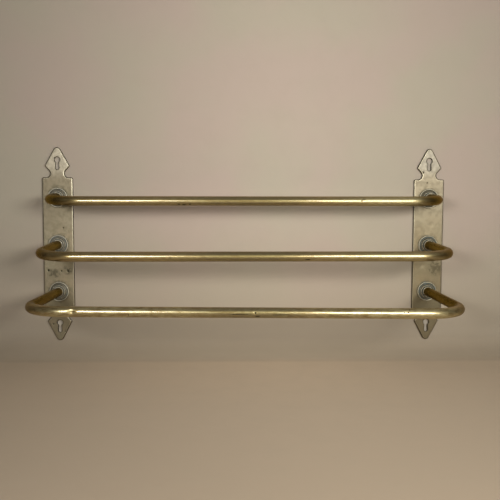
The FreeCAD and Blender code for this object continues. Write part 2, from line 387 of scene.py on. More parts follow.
def makePlate(hand, material):
    p = plates
    low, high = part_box(f"back_plate_{hand}")
    middle = (low.x + high.x) / 2
    thick = p["thickness"]
    outline = plateOutline(low.z, high.z, hand)
    keyholes = [keyholeLoop(z) for z in (high.z - p["keyholeInsets"][0], low.z + p["keyholeInsets"][1])]
    sockets = [socketOf(hand, level).z for level in levels]
    throats = [roundLoop(z, p["screwThroat"]) for z in sockets]
    mouths = [roundLoop(z, p["screwMouth"]) for z in sockets]
    points, faces = [], []

    def addLoop(loop, depth):
        start = len(points)
        points.extend((middle + x, -depth, z) for x, z in loop)
        return start

    def addWall(rings, flip):
        # Rings of (loop, depth), each joined to the one before.
        starts = [addLoop(loop, depth) for loop, depth in rings]
        for first, second in zip(starts, starts[1:]):
            joinRings(faces, first, second, len(rings[0][0]), flip)

    def roundedWall(loop, radius, inward, flip):
        # From the back face up the side and round the front edge; gives the loop on the front face.
        normals = loopNormals(loop) * inward
        steps = [(0.0, (thick - radius) * s) for s in (0.0, 0.4, 0.8, 1.0)]
        steps += [(radius * (1 - math.cos(t)), thick - radius + radius * math.sin(t))
                  for t in (math.pi / 2 * k / 8 for k in range(1, 9))]
        addWall([(loop + normals * offset, depth) for offset, depth in steps], flip)
        return loop + normals * radius

    frontOuter = roundedWall(outline, p["edgeRadius"], 1, False)
    frontKeyholes = [roundedWall(loop, p["keyholeRim"], -1, True) for loop in keyholes]
    for mouth, throat in zip(mouths, throats):
        addWall([(mouth, 0), (throat, p["screwMouth"] - p["screwThroat"]), (throat, thick)], True)
    for depth, outer, holes, inner, flip in (
            (thick, frontOuter, frontKeyholes + throats, True, False),
            (0, outline, keyholes + mouths, False, True)):
        found, triangles = fillBetween(outer, holes, inner, p["spacing"])
        start = addLoop(found, depth)
        for a, b, c in triangles + start:
            corner, second, third = (np.array(points[i])[[0, 2]] for i in (a, b, c))
            turn = np.cross(second - corner, third - corner)
            faces.append((a, b, c) if (turn > 0) != flip else (a, c, b))

    merged = bmesh.new()
    corners = [merged.verts.new(v) for v in points]
    for face in faces:
        if len(set(face)) == len(face):
            try:
                merged.faces.new([corners[i] for i in face])
            except ValueError:
                pass        # the same face a second time
    bmesh.ops.remove_doubles(merged, verts=merged.verts, dist=2e-6)
    bmesh.ops.dissolve_degenerate(merged, edges=merged.edges, dist=1e-7)
    merged.verts.index_update()
    spots = np.array([v.co for v in merged.verts])
    flat = np.stack([spots[:, 0] - middle, spots[:, 2]], 1)
    toOutline = distanceToLoop(flat, outline)
    toKeyhole = np.min([distanceToLoop(flat, loop) for loop in keyholes], 0)
    front = np.clip((-spots[:, 1] - (thick - p["edgeRadius"])) / p["edgeRadius"], 0, 1)
    near = np.array([min(math.hypot(x, z - s) for s in sockets) for x, z in flat])
    seed = hands[hand] * 3.1
    for vert, (x, z), share, gap, out in zip(merged.verts, flat, front, near, toOutline):
        rolling = noise.noise(Vector((x * 26, z * 17, seed)))
        ripple = noise.noise(Vector((x * 95, z * 80, seed + 9)))
        vert.co.y += share * softStep(gap, *p["calm"]) * p["unevenness"] * (1.0 + 0.9 * rolling + 0.1 * ripple)
        if out < p["filed"]:
            # The long edges were filed by hand and have worn unevenly.
            worn = max(0, noise.noise(Vector((z * 55, seed, x * 8))))
            vert.co.x -= math.copysign((1 - out / p["filed"]) * p["edgeWobble"] * worn, x)
    for at, depth, size in plateDents[hand]:
        for vert in merged.verts:
            gap = math.hypot(vert.co.x - at[0], vert.co.z - at[1])
            if vert.co.y < -thick * 0.7 and gap < 3 * size:
                vert.co.y += depth * hump(gap, size)
    bmesh.ops.recalc_face_normals(merged, faces=merged.faces)
    # The last two layers carry painted shade: round the keyholes, and on the side walls where the plate's shadow falls
    # against the wall.
    layers = {"rim": np.exp(-((toOutline - p["worn"][0]) / p["worn"][1]) ** 2) * np.clip(front * 3, 0, 1),
              "keyholeShade": np.exp(-(toKeyhole / p["grimy"]) ** 2),
              "side": 1 - np.clip(front * 1.5, 0, 1)}
    piece = makeObject(f"spade_back_plate_{hand}", [v.co for v in merged.verts],
                       [[v.index for v in f.verts] for f in merged.faces], layers, 50)
    merged.free()
    finishPiece(piece, material, "plate_brass", f"back_plate_{hand}")


# Turned rosettes and the ferrules in them: distances from the axis, heights out from the plate.
rosettes = {
    "outer": 0.0142, "beadTop": 0.0020, "beadRadius": 0.0011, "beadInner": 0.0120,
    "domeFoot": 0.0109, "lip": (0.0091, 0.0052),
    # A stepped ring under the dome: distance from the axis and height of its corners.
    "step": ((0.01086, 0.0019), (0.01068, 0.0027), (0.01035, 0.0029), (0.01015, 0.0027), (0.01003, 0.0022)),
    "shoulder": ((0.00992, 0.0030), (0.00975, 0.0040), (0.00950, 0.0047)),
    "groove": 0.0086, "grooveFloor": 0.0036, "ferrule": 0.0073, "seat": 0.0020, "bore": 0.0064,
    "ferruleTop": 0.0076, "ferruleEdge": 0.0004,
    "turns": 144,
    "wobble": 0.00006,
    "wobbleScale": (1.3, 300),
    "crustScale": 520,
    "crust": {"rosette": 0.00016, "ferrule": 0.000064},      # thickest growth of verdigris
}


def rosetteProfile():
    r = rosettes
    floor = r["beadTop"] - r["beadRadius"]
    bead = [(r["outer"], 0)] + arcPoints(r["outer"] - r["beadRadius"], floor, r["beadRadius"], 0, math.pi, 18)
    dome = [((r["beadInner"] + r["domeFoot"]) / 2, floor - 0.0004), (r["domeFoot"], floor - 0.0002)]
    dome += [*r["step"], *r["shoulder"], r["lip"]]
    lipOut, lipUp = r["lip"]
    lip = [(lipOut - 0.00012, lipUp + 0.00003), (lipOut - 0.00032, lipUp + 0.00004),
           (r["groove"] + 0.00006, lipUp - 0.00006), (r["groove"], lipUp - 0.0003)]
    inside = [(r["groove"], r["grooveFloor"]), (r["ferrule"], r["grooveFloor"]), (r["ferrule"], r["seat"]),
              (r["bore"], r["seat"]), (r["bore"], 0)]
    return bead + dome + lip + inside


def ferruleProfile():
    r = rosettes
    edge, top = r["ferruleEdge"], r["ferruleTop"]
    rounded = arcPoints(r["ferrule"] - edge, top - edge, edge, 0, math.pi / 2, 6)
    foot = [(r["bore"], r["seat"]), (r["ferrule"], r["seat"]), (r["ferrule"], (r["seat"] + top) / 2)]
    return foot + rounded + [(r["bore"] + 0.00015, top), (r["bore"], top - 0.00015)]


def rosetteCrevice(out, rise):
    r = rosettes
    hollow = hump(out - (r["beadInner"] + r["domeFoot"]) / 2, 0.00055) * (rise < 0.003)
    groove = 1.0 if out <= r["groove"] + 0.0001 and rise < r["lip"][1] - 0.0001 else 0.0
    cut = hump(out - r["step"][-1][0], 0.0002) * (rise < 0.0028)
    return max(hollow, hump(rise, 0.0005), groove, cut)


def rosetteCrest(out, rise):
    r = rosettes
    onBead = hump(out - r["outer"] + r["beadRadius"], 0.0006) * (rise > r["beadTop"] - 0.0005)
    onStep = hump(out - r["step"][2][0] - 0.0002, 0.00035) * (0.0024 < rise < 0.0031)
    onLip = hump(out - r["lip"][0] + 0.0002, 0.0004) * (rise > r["lip"][1] - 0.0006)
    return max(onBead, onStep, onLip)


def ferruleCrevice(out, rise):
    return hump(rise - rosettes["lip"][1], 0.0008)


def ferruleCrest(out, rise):
    return hump(rise - rosettes["ferruleTop"], 0.0004) * 0.8


# A turned ring about a socket's axis. "crevice" is 1 in its hollows and "crest" is 1 on its proud lines.
def makeTurned(name, kind, hand, level, profile, seed, creviceOf, crestOf):
    centre = socketOf(hand, level)
    turns, count = rosettes["turns"], len(profile)
    roundScale, outScale = rosettes["wobbleScale"]
    fine = rosettes["crustScale"]
    points, faces, crevice, crest = [], [], [], []
    for k in range(turns):
        angle = 2 * math.pi * k / turns
        side, up = math.cos(angle), math.sin(angle)
        for number, (out, rise) in enumerate(profile):
            before, after = profile[number - 1], profile[(number + 1) % count]
            along = Vector((after[0] - before[0], after[1] - before[1]))
            normal = Vector((along.y, -along.x)).normalized() if along.length > 0 else Vector((0, 1))
            uneven = noise.noise(Vector((side * roundScale + seed, up * roundScale, out * outScale)))
            growth = max(0, noise.noise(Vector((side * out * fine, up * out * fine, rise * fine + seed))))
            where = creviceOf(out, rise)
            push = uneven * rosettes["wobble"] * softStep(rise, 0.0001, 0.001) + growth * rosettes["crust"][kind] * where
            if out <= rosettes["bore"] + 0.0002 or rise < 0.00005:
                push = 0        # fits on the tube and on the plate
            newOut, newRise = min(out + normal.x * push, rosettes["outer"]), rise + normal.y * push
            points.append((centre.x + newOut * side, centre.y - newRise, centre.z + newOut * up))
            crevice.append(where)
            crest.append(crestOf(out, rise))
        joinRings(faces, k * count, (k + 1) % turns * count, count)
    piece = makeObject(f"{name}_{hand}_{level}", points, faces, {"crevice": crevice, "crest": crest}, 45)
    finishPiece(piece, rosetteBrass(hand, level, kind), f"{kind}_brass", f"{kind}_{hand}_{level}")


# A node's output that sums can be written with: each of them puts one Math node into its tree.
class Value:
    def __init__(self, output):
        self.output, self.tree = output, output.id_data

    def __add__(self, other):
        return calc("ADD", self, other)

    def __sub__(self, other):
        return calc("SUBTRACT", self, other)

    def __rsub__(self, other):
        return calc("SUBTRACT", other, self)

    def __mul__(self, other):
        return calc("MULTIPLY", self, other)

    def __rtruediv__(self, other):
        return calc("DIVIDE", other, self)

    def clamped(self):
        self.output.node.use_clamp = True
        return self


def feed(socket, value):
    if isinstance(value, Value):
        value.tree.links.new(value.output, socket)
    else:
        socket.default_value = value


def putNode(tree, kind, inputs=None, **settings):
    node = tree.nodes.new(kind)
    for label, setting in settings.items():
        setattr(node, label, setting)
    for label, value in (inputs or {}).items():
        feed(node.inputs[label], value)
    return node


def result(tree, kind, inputs=None, output=0, **settings):
    return Value(putNode(tree, kind, inputs, **settings).outputs[output])


def treeOf(*values):
    return next(v.tree for v in values if isinstance(v, Value))


def calc(operation, first, second):
    return result(treeOf(first, second), "ShaderNodeMath", {0: first, 1: second}, operation=operation)


def larger(first, second):
    return calc("MAXIMUM", first, second)


def vectorCalc(operation, *vectors, output=0):
    return result(treeOf(*vectors), "ShaderNodeVectorMath", dict(enumerate(vectors)), output, operation=operation)


def span(value, low, high, toLow=0.0, toHigh=1.0, kind="SMOOTHSTEP"):
    inputs = {"Value": value, "From Min": low, "From Max": high, "To Min": toLow, "To Max": toHigh}
    return result(value.tree, "ShaderNodeMapRange", inputs, interpolation_type=kind)


def mixed(amount, first, second):
    inputs = {0: amount, 6: first, 7: second}
    return result(treeOf(amount, first, second), "ShaderNodeMix", inputs, 2, data_type="RGBA")


def noiseAt(vector, scale, seed=0.0, detail=3.0, rough=0.55, output=0):
    inputs = {"Vector": vector, "Scale": scale, "W": seed, "Detail": detail, "Roughness": rough}
    return result(vector.tree, "ShaderNodeTexNoise", inputs, output, noise_dimensions="4D")


def partsOf(vector, kind="XYZ"):
    return [Value(o) for o in putNode(vector.tree, "ShaderNodeSeparate" + kind, {0: vector}).outputs]


def bumpFrom(*layers):
    # Heights in metres, each as (height 0 to 1, depth), stacked into one normal.
    inputs = {}
    for height, depth in layers:
        inputs.update({"Height": height, "Strength": 1.0, "Distance": depth})
        normal = inputs["Normal"] = result(height.tree, "ShaderNodeBump", inputs)
    return normal


# Effects shared by the materials, each a node group. Their inputs and starting values are listed first.
effects = {
    # Cloudy tarnish: Large drifts, Mottle a few millimetres wide and Grain under a millimetre.
    "tarnish": ({"Vector": (0, 0, 0), "Patch Size": 0.04, "Contrast": 0.5, "Seed": 0.0},
                ("Large", "Mottle", "Grain")),
    # Bare metal along an edge: Rim is 1 on the edge, and noise breaks the line up.
    "wornEdge": ({"Vector": (0, 0, 0), "Rim": 0.0, "Amount": 0.5, "Break Up": 0.6}, ("Mask",)),
    # Fine rubbing lines; Stretch holds how many run past in a metre along each axis.
    "hairlines": ({"Vector": (0, 0, 0), "Stretch": (30, 900, 900), "Seed": 0.0}, ("Lines", "Streak")),
    # One mark at a place: Size holds its half widths, Ragged how torn its outline is.
    "spotMark": ({"Vector": (0, 0, 0), "Centre": (0, 0, 0), "Size": (0.001, 0.001, 0.001), "Ragged": 0.5},
                 ("Mask",)),
    # Scattered corrosion pits: Spacing apart, and only the share Amount of them is there.
    "pits": ({"Vector": (0, 0, 0), "Spacing": 0.004, "Amount": 0.3, "Size": 0.2}, ("Mask",)),
    # Blue-green growth that starts in hollows; Crevice is 1 there, and Amount lets it spread.
    "verdigris": ({"Vector": (0, 0, 0), "Crevice": 0.0, "Amount": 0.5, "Seed": 0.0,
                   "Pale": (0.42, 0.55, 0.53, 1), "Deep": (0.10, 0.22, 0.20, 1)}, ("Mask", "Colour", "Height")),
}


def tarnish(taken):
    place, scale, seed = taken["Vector"], 1.0 / taken["Patch Size"], taken["Seed"]
    bend = result(scale.tree, "ShaderNodeTexNoise", {"Vector": place, "Scale": scale, "W": 4.0}, "Color",
                  noise_dimensions="4D")
    drift = vectorCalc("ADD", bend, (-0.5, -0.5, -0.5))
    warped = vectorCalc("MULTIPLY_ADD", drift, (0.014, 0.014, 0.014), place)
    low = taken["Contrast"] * -0.28 + 0.48
    return {"Large": span(noiseAt(warped, scale, seed, 4.0, 0.5), low, 0.62),
            "Mottle": span(noiseAt(warped, scale * 6.5, seed, 5.0, 0.6), 0.36, 0.66),
            "Grain": span(noiseAt(place, scale * 48.0, seed, 3.0, 0.6), 0.30, 0.72)}


def wornEdge(taken):
    ragged = noiseAt(taken["Vector"], 210.0, 2.0, 4.0, 0.65)
    reach = taken["Rim"] + (ragged - 0.5) * taken["Break Up"]
    start = 0.95 - taken["Amount"]
    return {"Mask": span(reach, start, start + 0.35)}


def hairlines(taken):
    drawn, seed = vectorCalc("MULTIPLY", taken["Vector"], taken["Stretch"]), taken["Seed"]
    ridge = calc("ABSOLUTE", noiseAt(drawn, 1.0, seed, 2.0, 0.7) - 0.5, 0.0)
    return {"Lines": span(ridge, 0.0, 0.045, 1.0, 0.0),
            "Streak": span(noiseAt(drawn, 0.33, seed, 3.0, 0.6), 0.3, 0.7)}


def spotMark(taken):
    away = vectorCalc("DIVIDE", vectorCalc("SUBTRACT", taken["Vector"], taken["Centre"]), taken["Size"])
    torn = (noiseAt(taken["Vector"], 900.0, 1.0) - 0.5) * taken["Ragged"]
    return {"Mask": span(vectorCalc("LENGTH", away, output="Value") + torn, 0.55, 1.15, 1.0, 0.0)}


def pits(taken):
    cells = putNode(treeOf(taken["Vector"]), "ShaderNodeTexVoronoi",
                    {"Vector": taken["Vector"], "Scale": 1.0 / taken["Spacing"]}).outputs
    chance, spread, _ = partsOf(Value(cells["Color"]), "Color")
    size = taken["Size"] * span(spread, 0, 1, 0.4, 1.0)
    hollow = span(Value(cells["Distance"]), 0.0, size, 1.0, 0.0, "LINEAR")
    return {"Mask": hollow * calc("LESS_THAN", chance, taken["Amount"])}


def verdigris(taken):
    cloud = noiseAt(taken["Vector"], 160.0, taken["Seed"], 4.0, 0.6)
    powder = noiseAt(taken["Vector"], 1300.0, taken["Seed"], 3.0, 0.6)
    spread = taken["Crevice"] * 0.42 + cloud + (powder - 0.5) * 0.16
    edge = 1.02 - taken["Amount"] * 0.55
    mask = span(spread, edge, edge + 0.16)
    return {"Mask": mask, "Colour": mixed(span(powder, 0.35, 0.68), taken["Deep"], taken["Pale"]),
            "Height": mask * (powder + 0.4)}


def socketKind(value):
    if isinstance(value, float):
        return "NodeSocketFloat"
    return "NodeSocketVector" if len(value) == 3 else "NodeSocketColor"


def buildEffect(build):
    takes, gives = effects[build.__name__]
    group = bpy.data.node_groups.new(build.__name__, "ShaderNodeTree")
    for label, value in takes.items():
        group.interface.new_socket(label, in_out="INPUT", socket_type=socketKind(value)).default_value = value
    for label in gives:
        kind = "NodeSocketColor" if label == "Colour" else "NodeSocketFloat"
        group.interface.new_socket(label, in_out="OUTPUT", socket_type=kind)
    taken = {o.name: Value(o) for o in group.nodes.new("NodeGroupInput").outputs if o.name}
    given = group.nodes.new("NodeGroupOutput").inputs
    for label, value in build(taken).items():
        feed(given[label], value)


for build in (tarnish, wornEdge, hairlines, spotMark, pits, verdigris):
    buildEffect(build)


def useEffect(name, vector, **inputs):
    # Inputs of two words, such as Break Up, are written breakUp here; the others by their own name.
    node = putNode(vector.tree, "ShaderNodeGroup", {}, node_tree=bpy.data.node_groups[name])
    feed(node.inputs["Vector"], vector)
    for word, value in inputs.items():
        label = "".join(" " + c if c.isupper() else c for c in word)
        feed(node.inputs[label[0].upper() + label[1:]], value)
    return {o.name: Value(o) for o in node.outputs}


def startMaterial(name, **sockets):
    material = bpy.data.materials.new(name)
    material.use_nodes = True
    tree = material.node_tree
    tree.nodes.clear()
    shader = putNode(tree, "ShaderNodeBsdfPrincipled", {label.replace("_", " "): v for label, v in sockets.items()})
    tree.links.new(shader.outputs[0], putNode(tree, "ShaderNodeOutputMaterial").inputs["Surface"])
    return material, shader.inputs, result(tree, "ShaderNodeTexCoord", output="Object")


def rgb(red, green, blue):
    return (red, green, blue, 1.0)


def attribute(place, name, output="Fac"):
    return result(place.tree, "ShaderNodeAttribute", output=output, attribute_name=name)


# Finish of the tubes: drawn brass gone brown under a thin old gloss, rubbed bright where towels slid, with painted
# shade along the middle of the front run.
tubeLook = {
    "gold": rgb(0.350, 0.248, 0.085),
    "olive": rgb(0.235, 0.180, 0.058),
    "red": rgb(0.265, 0.158, 0.048),
    # painted shade for the middle of the front run
    "dull": rgb(0.150, 0.120, 0.042),
    "rubbed": rgb(0.520, 0.465, 0.270),
    "dark": rgb(0.045, 0.036, 0.018),
    "arm": rgb(0.135, 0.093, 0.024),
    "armDark": rgb(0.058, 0.042, 0.013),
    "browning": (-0.08, 0.34),                      # where along the bend, as a share, brown takes over
    "lift": {"top": 0.40, "middle": 0.12, "bottom": 0.0},      # how far the brown has turned olive
    "roughness": (0.29, 0.40),
    "gloss": 1.0,
    "satin": {"top": 1.0, "middle": 0.40, "bottom": 0.50},     # how matt the right-hand end has become
    "satinStart": (0.10, 0.19),
    "rub": {"top": 0.30, "middle": 0.30, "bottom": 0.80},
    "dulled": (-0.11, -0.02, 0.03, 0.11),           # painted shade on the middle of the front run, which shows less light: starts, full, full, ends
}

# Dark marks on the tubes: centre and half widths.
tubeMarks = {
    "top": [((-0.0867, -0.0959, 0.0553), (0.0020, 0.0012, 0.0012)),
            ((-0.0803, -0.0954, 0.0548), (0.0032, 0.0012, 0.0012)),
            ((-0.0725, -0.0959, 0.0553), (0.0020, 0.0011, 0.0011)),
            ((0.1535, -0.0967, 0.0624), (0.0030, 0.0012, 0.0007)),
            ((0.1508, -0.0973, 0.0604), (0.0009, 0.0012, 0.0018))],
    "middle": [((0.0755, -0.1470, -0.0118), (0.0040, 0.0012, 0.0008)),
               ((-0.0943, -0.1478, -0.0099), (0.0030, 0.0012, 0.0006))],
    "bottom": [((0.0090, -0.1988, -0.0696), (0.0014, 0.0014, 0.0014)),
               ((0.0116, -0.1978, -0.0738), (0.0032, 0.0014, 0.0010)),
               ((-0.0090, -0.1988, -0.0712), (0.0150, 0.0014, 0.0006)),
               ((-0.1386, -0.1984, -0.0717), (0.0006, 0.0014, 0.0016)),
               ((0.0380, -0.1988, -0.0718), (0.0130, 0.0014, 0.0006)),
               ((0.1840, -0.1984, -0.0694), (0.0008, 0.0014, 0.0010)),
               ((0.1885, -0.1984, -0.0694), (0.0008, 0.0014, 0.0010)),
               ((0.1904, -0.1965, -0.0668), (0.0005, 0.0014, 0.0018))],
}


def markMask(place, marks, ragged):
    masks = [useEffect("spotMark", place, centre=centre, size=size, ragged=ragged)["Mask"] for centre, size in marks]
    return reduce(larger, masks)


def tubeBrass(level):
    look = tubeLook
    material, socket, place = startMaterial(f"agedTubeBrass_{level}", Metallic=1.0, Coat_Roughness=0.17,
                                            Coat_IOR=1.9, Specular_Tint=rgb(0.80, 0.64, 0.40))
    seed = 3.0 + 5.0 * levels.index(level)
    flow, arm = attribute(place, "tubeFlow", "Vector"), attribute(place, "armShare")
    cloud = useEffect("tarnish", vectorCalc("MULTIPLY", flow, (0.45, 1.6, 1.6)), patchSize=0.03, contrast=0.7,
                      seed=seed)
    lines = useEffect("hairlines", flow, stretch=(26, 1100, 1100), seed=seed)
    cross = useEffect("hairlines", place, stretch=(700, 160, 90), seed=seed + 2)
    pitted = useEffect("pits", flow, spacing=0.0035, amount=0.10, size=0.16)["Mask"]
    marks = markMask(place, tubeMarks[level], 0.9)
    across = partsOf(place)[0]
    satin = span(across, *look["satinStart"], 0.0, look["satin"][level]) * span(arm, 0.02, 0.30, 1.0, 0.0)
    rub = span(arm, 0.0, 0.35, 1.0, 0.0) * (cloud["Mottle"] * look["rub"][level])
    rub = (rub + satin * 0.50 + lines["Streak"] * 0.14).clamped()
    starts, full, still, ends = look["dulled"]
    dulled = span(across, starts, full) * span(across, still, ends, 1.0, 0.0)
    browned = span(arm + cloud["Mottle"] * -0.12, *look["browning"], 0.0, 0.92)
    streaky = (cloud["Mottle"] * 0.45 + lines["Streak"] * 0.45).clamped()
    brown = mixed(look["lift"][level], mixed(streaky, look["arm"], look["armDark"]), look["olive"])
    stained = larger(marks, pitted * 0.8).clamped()

    base = mixed(cloud["Large"], look["gold"], look["olive"])
    base = mixed((1.0 - cloud["Mottle"]) * span(arm, 0.0, 0.7, 0.25, 0.75), base, look["red"])
    base = mixed(rub, base, look["rubbed"])
    # painted shade: the middle of the front run darkened
    base = mixed(dulled * 0.60, base, look["dull"])
    base = mixed(lines["Lines"] * 0.18, base, look["olive"])
    base = mixed(browned, base, brown)
    feed(socket["Base Color"], mixed(stained, base, look["dark"]))

    rough = span(cloud["Large"] * 0.6 + cloud["Grain"] * 0.4, 0.0, 1.0, *look["roughness"])
    rough = rough + satin * 0.08 - browned * 0.08
    feed(socket["Roughness"], larger(rough, stained * 0.75))
    gloss = span(cloud["Mottle"], 0.1, 0.9, 1.0, 0.45) * look["gloss"]
    feed(socket["Coat Weight"], gloss * (1.0 - browned) * (1.0 - satin * 0.6) * (1.0 - stained))
    feed(socket["Normal"], bumpFrom((cloud["Mottle"], 0.000003), (lines["Lines"], 0.000003),
                                    (cross["Lines"], -0.000003), (pitted, -0.00006), (marks, -0.00010)))
    return material


# Finish of the back plates: worn nickel-coloured brass, tarnished in patches, with painted shade on the side walls and
# round the keyholes.
plateLook = {
    "left": {
        "bare": rgb(0.250, 0.220, 0.155), "tan": rgb(0.225, 0.187, 0.128), "olive": rgb(0.168, 0.160, 0.098),
        "upper": rgb(0.135, 0.115, 0.078), "head": rgb(0.320, 0.290, 0.225), "foot": rgb(0.130, 0.115, 0.070),
        "edge": rgb(0.33, 0.305, 0.23), "stain": rgb(0.062, 0.062, 0.038), "grime": rgb(0.035, 0.030, 0.018),
        "rear": rgb(0.36, 0.29, 0.17), "rearDark": rgb(0.22, 0.17, 0.09), "mottled": 0.40},
    "right": {
        "bare": rgb(0.185, 0.160, 0.104), "tan": rgb(0.170, 0.138, 0.086), "olive": rgb(0.140, 0.118, 0.068),
        "upper": rgb(0.168, 0.146, 0.106), "head": rgb(0.186, 0.171, 0.141), "foot": rgb(0.112, 0.097, 0.059),
        "edge": rgb(0.26, 0.235, 0.17), "stain": rgb(0.095, 0.082, 0.050), "grime": rgb(0.032, 0.027, 0.014),
        "rear": rgb(0.34, 0.27, 0.15), "rearDark": rgb(0.21, 0.16, 0.08), "mottled": 0.16},
}

# Dark marks and wide stains on the plates' fronts: x, z, half width, half height.
plateMarks = {
    "left": [(-0.2577, 0.0202, 0.0010, 0.0010), (-0.2799, -0.0407, 0.0016, 0.0016),
             (-0.2614, -0.0417, 0.0013, 0.0011), (-0.2522, -0.0417, 0.0014, 0.0018),
             (-0.2742, -0.1183, 0.0012, 0.0010), (-0.2573, -0.1292, 0.0011, 0.0011)],
    "right": [(0.2626, 0.0853, 0.0009, 0.0010), (0.2565, 0.1003, 0.0010, 0.0015)],
}
plateStains = {
    "left": [(-0.2720, -0.0450, 0.0110, 0.0075), (-0.2520, -0.0400, 0.0080, 0.0080)],
    "right": [(0.2770, -0.0350, 0.0150, 0.0150), (0.2690, 0.0560, 0.0100, 0.0060)],
}


def onPlate(spots, reach):
    return [((x, -plates["thickness"], z), (wide, reach, tall)) for x, z, wide, tall in spots]


def plateBrass(hand):
    look = plateLook[hand]
    material, socket, place = startMaterial(f"wornPlateBrass_{hand}")
    seed = 11.0 + 6.0 * hands[hand]
    cloud = useEffect("tarnish", place, patchSize=0.030, contrast=0.8, seed=seed)
    lines = useEffect("hairlines", place, stretch=(900, 300, 45), seed=seed)["Lines"]
    slant = result(place.tree, "ShaderNodeMapping", {"Vector": place, "Rotation": (0.0, 0.7, 0.0)})
    cross = useEffect("hairlines", slant, stretch=(500, 300, 60), seed=seed + 3)["Lines"]
    pitted = useEffect("pits", place, spacing=0.0042, amount=0.22, size=0.13)["Mask"]
    worn = useEffect("wornEdge", place, rim=attribute(place, "rim"), amount=0.40, breakUp=0.4)["Mask"]
    marks = markMask(place, onPlate(plateMarks[hand], 0.0020), 0.8)
    stains = markMask(place, onPlate(plateStains[hand], 0.0100), 1.4) * span(cloud["Mottle"], 0.15, 0.75, 1.0, 0.15)
    halo = reduce(larger, [span(vectorCalc("DISTANCE", place, tuple(socketOf(hand, level)), output="Value"),
                                0.0135, 0.0195, 1.0, 0.0) for level in levels])
    _, depth, up = partsOf(place)
    foot = span(up, -0.098, -0.062, 0.7, 0.0) * span(up, -0.115, -0.100, 0.2, 1.0)
    # painted shade on the side walls and round the keyholes
    shaded = larger(attribute(place, "side"), attribute(place, "keyholeShade") * 0.85)
    rear = span(depth, -0.0004, -0.0001)

    base = mixed(cloud["Large"], look["bare"], look["tan"])
    for amount, layer in ((cloud["Mottle"] * look["mottled"], "olive"), (cross * 0.20, "bare"),
                          (span(up, -0.020, 0.070, 0.0, 0.72), "upper"), (span(up, 0.085, 0.112, 0.0, 0.75), "head"),
                          (foot, "foot"), (halo * span(cloud["Mottle"], 0.0, 1.0, 0.10, 0.50), "stain"),
                          (stains * 0.5, "stain"), (larger(marks, pitted * 0.55).clamped(), "stain"),
                          (worn, "edge"), (shaded * 0.95, "grime")):
        base = mixed(amount, base, look[layer])
    # The back was never polished: duller and half covered.
    base = mixed(rear, base, mixed(cloud["Mottle"], look["rear"], look["rearDark"]))
    feed(socket["Base Color"], base)
    feed(socket["Metallic"], span(rear, 0.0, 1.0, 1.0, 0.35))
    dull = larger(span(cloud["Mottle"], 0, 1, 0.44, 0.50) + stains * 0.2, marks * 0.8)
    feed(socket["Roughness"], dull - worn * 0.16)
    feed(socket["Normal"], bumpFrom((cloud["Mottle"], 0.000002), (cloud["Grain"], 0.000004), (lines, -0.000004),
                                    (cross, -0.000004), (pitted, -0.00006), (marks, -0.00012)))
    return material


# Finish of rosettes and ferrules, with the growth in their hollows, and the hollows darkened partly as grime and
# partly as painted shade.
rosetteLook = {
    "left": {"metal": rgb(0.300, 0.272, 0.198), "dark": rgb(0.150, 0.135, 0.090), "bright": rgb(0.46, 0.44, 0.36),
             "dust": rgb(0.330, 0.310, 0.250), "grime": rgb(0.110, 0.106, 0.084),
             "pale": rgb(0.400, 0.425, 0.430), "deep": rgb(0.175, 0.195, 0.190),
             "dusty": {"top": 0.42, "middle": 0.50, "bottom": 0.22},
             "growth": {"top": 0.42, "middle": 0.82, "bottom": 0.46}},
    "right": {"metal": rgb(0.290, 0.255, 0.170), "dark": rgb(0.140, 0.122, 0.075), "bright": rgb(0.42, 0.39, 0.30),
              "dust": rgb(0.300, 0.275, 0.200), "grime": rgb(0.100, 0.098, 0.074),
              "pale": rgb(0.290, 0.365, 0.365), "deep": rgb(0.115, 0.158, 0.155),
              "dusty": {"top": 0.42, "middle": 0.35, "bottom": 0.35},
              "growth": {"top": 0.42, "middle": 0.86, "bottom": 0.86}},
}
growthShare = {"rosette": 1.0, "ferrule": 0.55}
wornShare = {"rosette": 0.60, "ferrule": 0.95}


def rosetteBrass(hand, level, kind):
    look = rosetteLook[hand]
    material, socket, place = startMaterial(f"{kind}Brass_{hand}_{level}")
    seed = 31.0 + 4.0 * hands[hand]
    crevice, dusty = attribute(place, "crevice"), look["dusty"][level]
    cloud = useEffect("tarnish", place, patchSize=0.012, contrast=0.8, seed=seed)
    bloom = useEffect("verdigris", place, crevice=crevice, amount=look["growth"][level] * growthShare[kind],
                      seed=seed, pale=look["pale"], deep=look["deep"])
    worn = useEffect("wornEdge", place, rim=attribute(place, "crest"), amount=wornShare[kind], breakUp=0.35)["Mask"]
    worn = worn * (1.0 - crevice).clamped()
    covered = bloom["Mask"] * 0.85

    base = mixed(dusty, mixed(cloud["Mottle"], look["metal"], look["dark"]), look["dust"])
    base = mixed(bloom["Mask"], base, bloom["Colour"])
    base = mixed(worn * 0.75, base, look["bright"])
    # the hollows darkened: grime there, and painted shade too
    feed(socket["Base Color"], mixed(crevice * 0.80, base, look["grime"]))
    feed(socket["Metallic"], 1.0 - larger(covered, dusty))
    feed(socket["Roughness"], larger(span(cloud["Mottle"], 0, 1, 0.40, 0.55), covered))
    feed(socket["Normal"], bumpFrom((cloud["Mottle"], 0.00005), (cloud["Grain"], 0.00002),
                                    (bloom["Height"], 0.00014)))
    return material


def hiddenBrass(name, metal, darker):
    # The screws and plugs behind: dull cast brass that nobody polished.
    material, socket, place = startMaterial(name, Metallic=1.0)
    cloud = useEffect("tarnish", place, patchSize=0.008, contrast=0.6, seed=5.0)
    base = mixed(cloud["Mottle"], metal, darker)
    feed(socket["Base Color"], mixed(cloud["Large"] * 0.5, base, darker))
    feed(socket["Roughness"], span(cloud["Grain"], 0, 1, 0.34, 0.58))
    feed(socket["Normal"], bumpFrom((cloud["Mottle"], 0.00006), (cloud["Grain"], 0.00003)))
    return material
